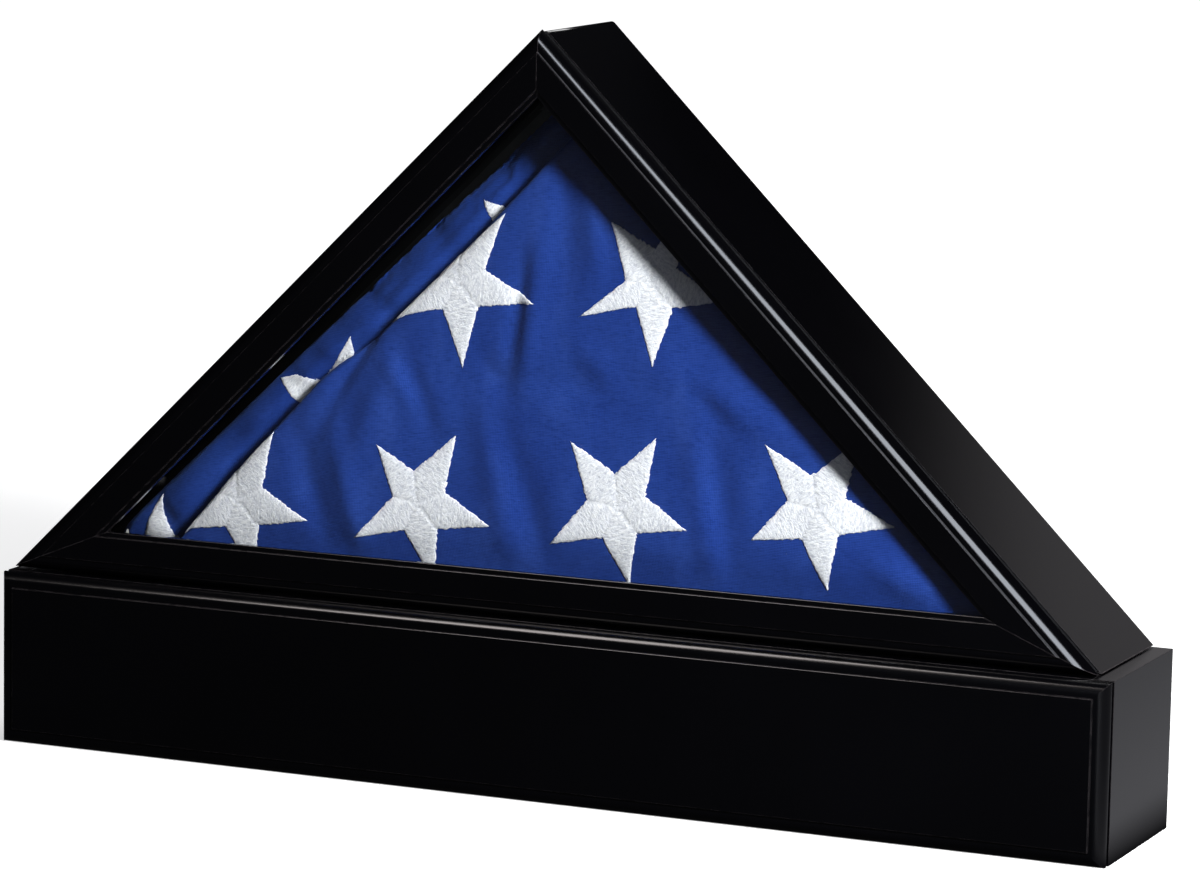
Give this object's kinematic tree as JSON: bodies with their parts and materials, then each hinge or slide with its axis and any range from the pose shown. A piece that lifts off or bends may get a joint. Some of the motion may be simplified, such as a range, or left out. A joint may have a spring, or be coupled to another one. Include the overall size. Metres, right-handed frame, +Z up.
{
  "type": "folded flag display case",
  "caption": "Triangular black display case with a glazed front and hinged back, holding a folded flag, standing on a long hollow plinth.",
  "frame": {"origin": "middle of the plinth's flat underside", "axes": "+X to the right of the window as seen from the front, +Y to the back, +Z up"},
  "size_m": [0.66, 0.126, 0.4209],
  "materials": {
    "black_lacquer": "black satin-gloss lacquer on wood",
    "black_flat": "black matt paint on wood",
    "bare_wood": "unfinished softwood",
    "black_felt": "black felt",
    "glass": "clear polished glass",
    "flag_cloth": "navy blue cotton bunting with white embroidered stars",
    "steel": "zinc-plated steel",
    "brass": "lacquered brass"
  },
  "bodies": {
    "plinth": {"ped_front": "black_lacquer", "ped_top": "black_lacquer", "ped_back": "black_lacquer", "ped_end_left": "black_lacquer", "ped_end_right": "black_lacquer", "ped_cover": "black_flat", "ped_glue_blocks": "bare_wood", "ped_cover_screws": "steel"},
    "case": {"case_bottom": "black_lacquer", "case_left": "black_lacquer", "case_right": "black_lacquer", "case_pads": "black_felt", "frame_bottom": "black_lacquer", "frame_right": "black_lacquer", "frame_left": "black_lacquer", "glass": "glass", "strip_bottom": "black_flat", "strip_right": "black_flat", "strip_left": "black_flat", "stop_right": "black_flat", "stop_left": "black_flat", "peak_block": "black_flat", "corner_block_left": "black_lacquer", "corner_block_right": "black_lacquer", "catch_magnet": "steel", "flag": "flag_cloth", "hinge_fixed_left": "brass", "hinge_fixed_right": "brass", "hinge_pin_left": "brass", "hinge_pin_right": "brass", "hinge_fixed_screws": "brass"},
    "door": {"door_panel": "black_lacquer", "door_lining": "black_felt", "hinge_door_left": "brass", "hinge_door_right": "brass", "hinge_door_screws": "brass", "strike_plate": "steel", "strike_screw": "steel", "knob": "brass", "knob_screw": "steel"}
  },
  "joints": [
    {"name": "case_lift", "type": "slide", "parent": "plinth", "child": "case", "axis": [0, 0, 1], "range_m": [0, 0.05]},
    {"name": "door_swing", "type": "hinge", "parent": "case", "child": "door", "pos_m": [-0.0055, 0.0588, 0.11205], "axis": [-1, 0, 0], "range_deg": [0, 105]}
  ]
}
